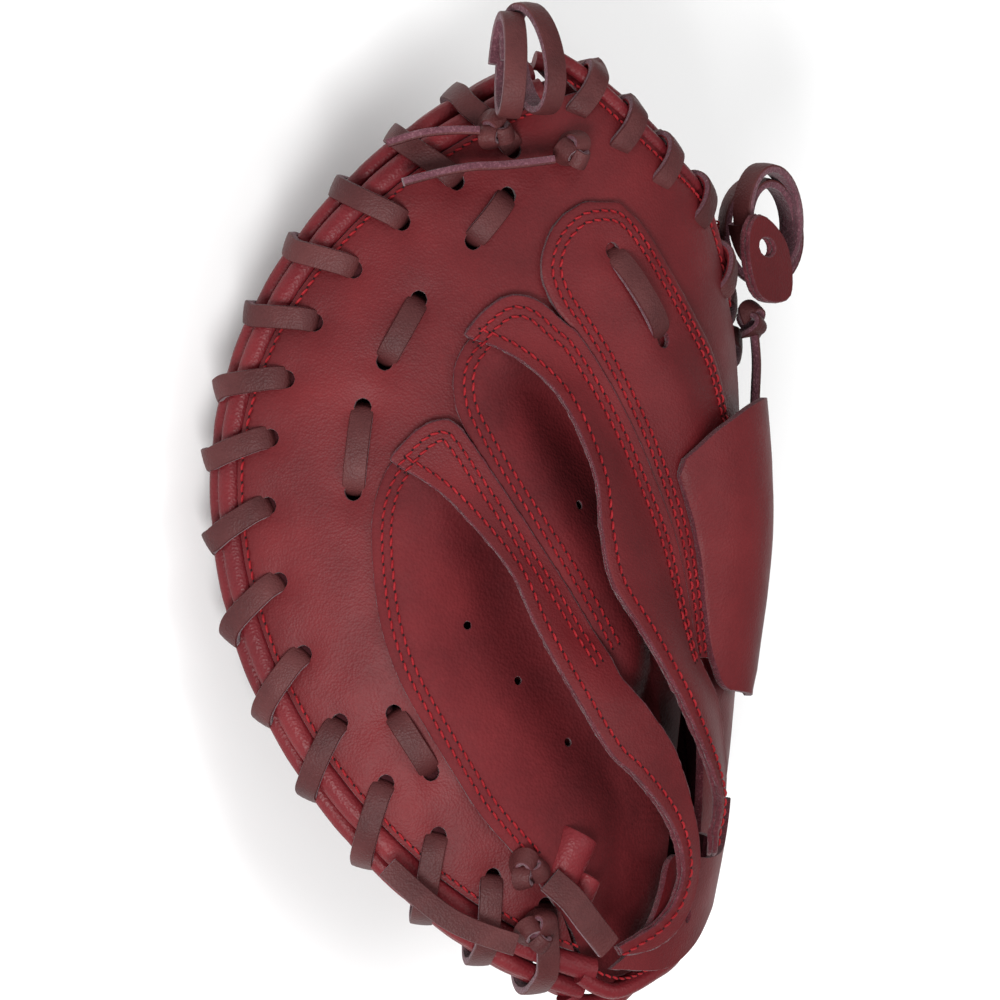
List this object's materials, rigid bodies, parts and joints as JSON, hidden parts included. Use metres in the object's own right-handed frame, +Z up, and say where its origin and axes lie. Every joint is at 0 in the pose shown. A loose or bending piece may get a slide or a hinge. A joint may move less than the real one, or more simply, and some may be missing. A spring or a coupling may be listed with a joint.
{
  "type": "baseball catchers mitt",
  "caption": "Left-hand catchers mitt of padded leather: finger side and thumb side folding at the palm, laced web, rim lacing, open-back finger stalls and an index-finger hood",
  "frame": {"origin": "middle of the underside of the mitt as it lies palm down, at ground level", "axes": "+Z up, out of the back of the hand; +Y from the heel to the toe; +X from the little-finger side to the thumb side"},
  "size_m": [0.215, 0.3126, 0.1342],
  "materials": {
    "shell_leather": "satin, fine grain",
    "lining_leather": "satin, softer grain",
    "welt_leather": "satin, rolled",
    "lace": "matt face, fuzzy cut edges",
    "padding": "felt"
  },
  "bodies": {
    "finger_side": {"back_shell_fingers": "shell_leather", "back_welt_fingers": "welt_leather", "edge_binding_fingers": "welt_leather", "finger_edge_pad": "padding", "hand_lining": "lining_leather", "heel_binding_fingers": "welt_leather", "heel_knots": "lace", "heel_lace_end": "lace", "heel_lace_end_long": "lace", "heel_pad_fingers": "padding", "index_hood": "shell_leather", "index_stall_panel": "shell_leather", "middle_finger_flap": "shell_leather", "middle_stall_border": "shell_leather", "middle_stall_lining": "lining_leather", "pad_lacing": "lace", "palm_pad_fingers": "padding", "palm_shell_fingers": "shell_leather", "palm_welt_fingers": "welt_leather", "pinky_stall_border": "shell_leather", "pinky_stall_lining": "lining_leather", "pull_loops": "welt_leather", "rim_lacing_fingers": "lace", "ring_finger_flap": "shell_leather", "side_welt_fingers": "welt_leather", "toe_knots": "lace", "toe_lace_end": "lace", "toe_lace_end_short": "lace", "toe_lace_loops": "lace", "web_panel_fingers": "shell_leather", "web_seam_lacing_fingers": "lace", "web_top_roll_fingers": "welt_leather", "wrist_band_fingers": "shell_leather"},
    "thumb_side": {"back_shell_thumb": "shell_leather", "back_welt_thumb": "welt_leather", "edge_binding_thumb": "welt_leather", "heel_pad_thumb": "padding", "palm_pad_thumb": "padding", "palm_shell_thumb": "shell_leather", "palm_welt_thumb": "welt_leather", "rim_lacing_thumb": "lace", "side_welt_thumb": "welt_leather", "thumb_edge_pad": "padding", "thumb_lining": "lining_leather", "thumb_loop": "lining_leather", "thumb_stall_panel": "shell_leather", "thumb_tip_knot": "lace", "thumb_tip_lace_end": "lace", "thumb_tip_loops": "lace", "thumb_tip_tab": "shell_leather", "web_panel_thumb": "shell_leather", "web_seam_lacing_thumb": "lace", "web_top_roll_thumb": "welt_leather", "wrist_band_thumb": "shell_leather", "web_center_lacing": "lace"}
  },
  "joints": [
    {"name": "palm_fold", "type": "hinge", "parent": "finger_side", "child": "thumb_side", "pos_m": [0.0305, 0, 0.0692], "axis": [0, 1, 0], "range_deg": [-10, 35]}
  ]
}
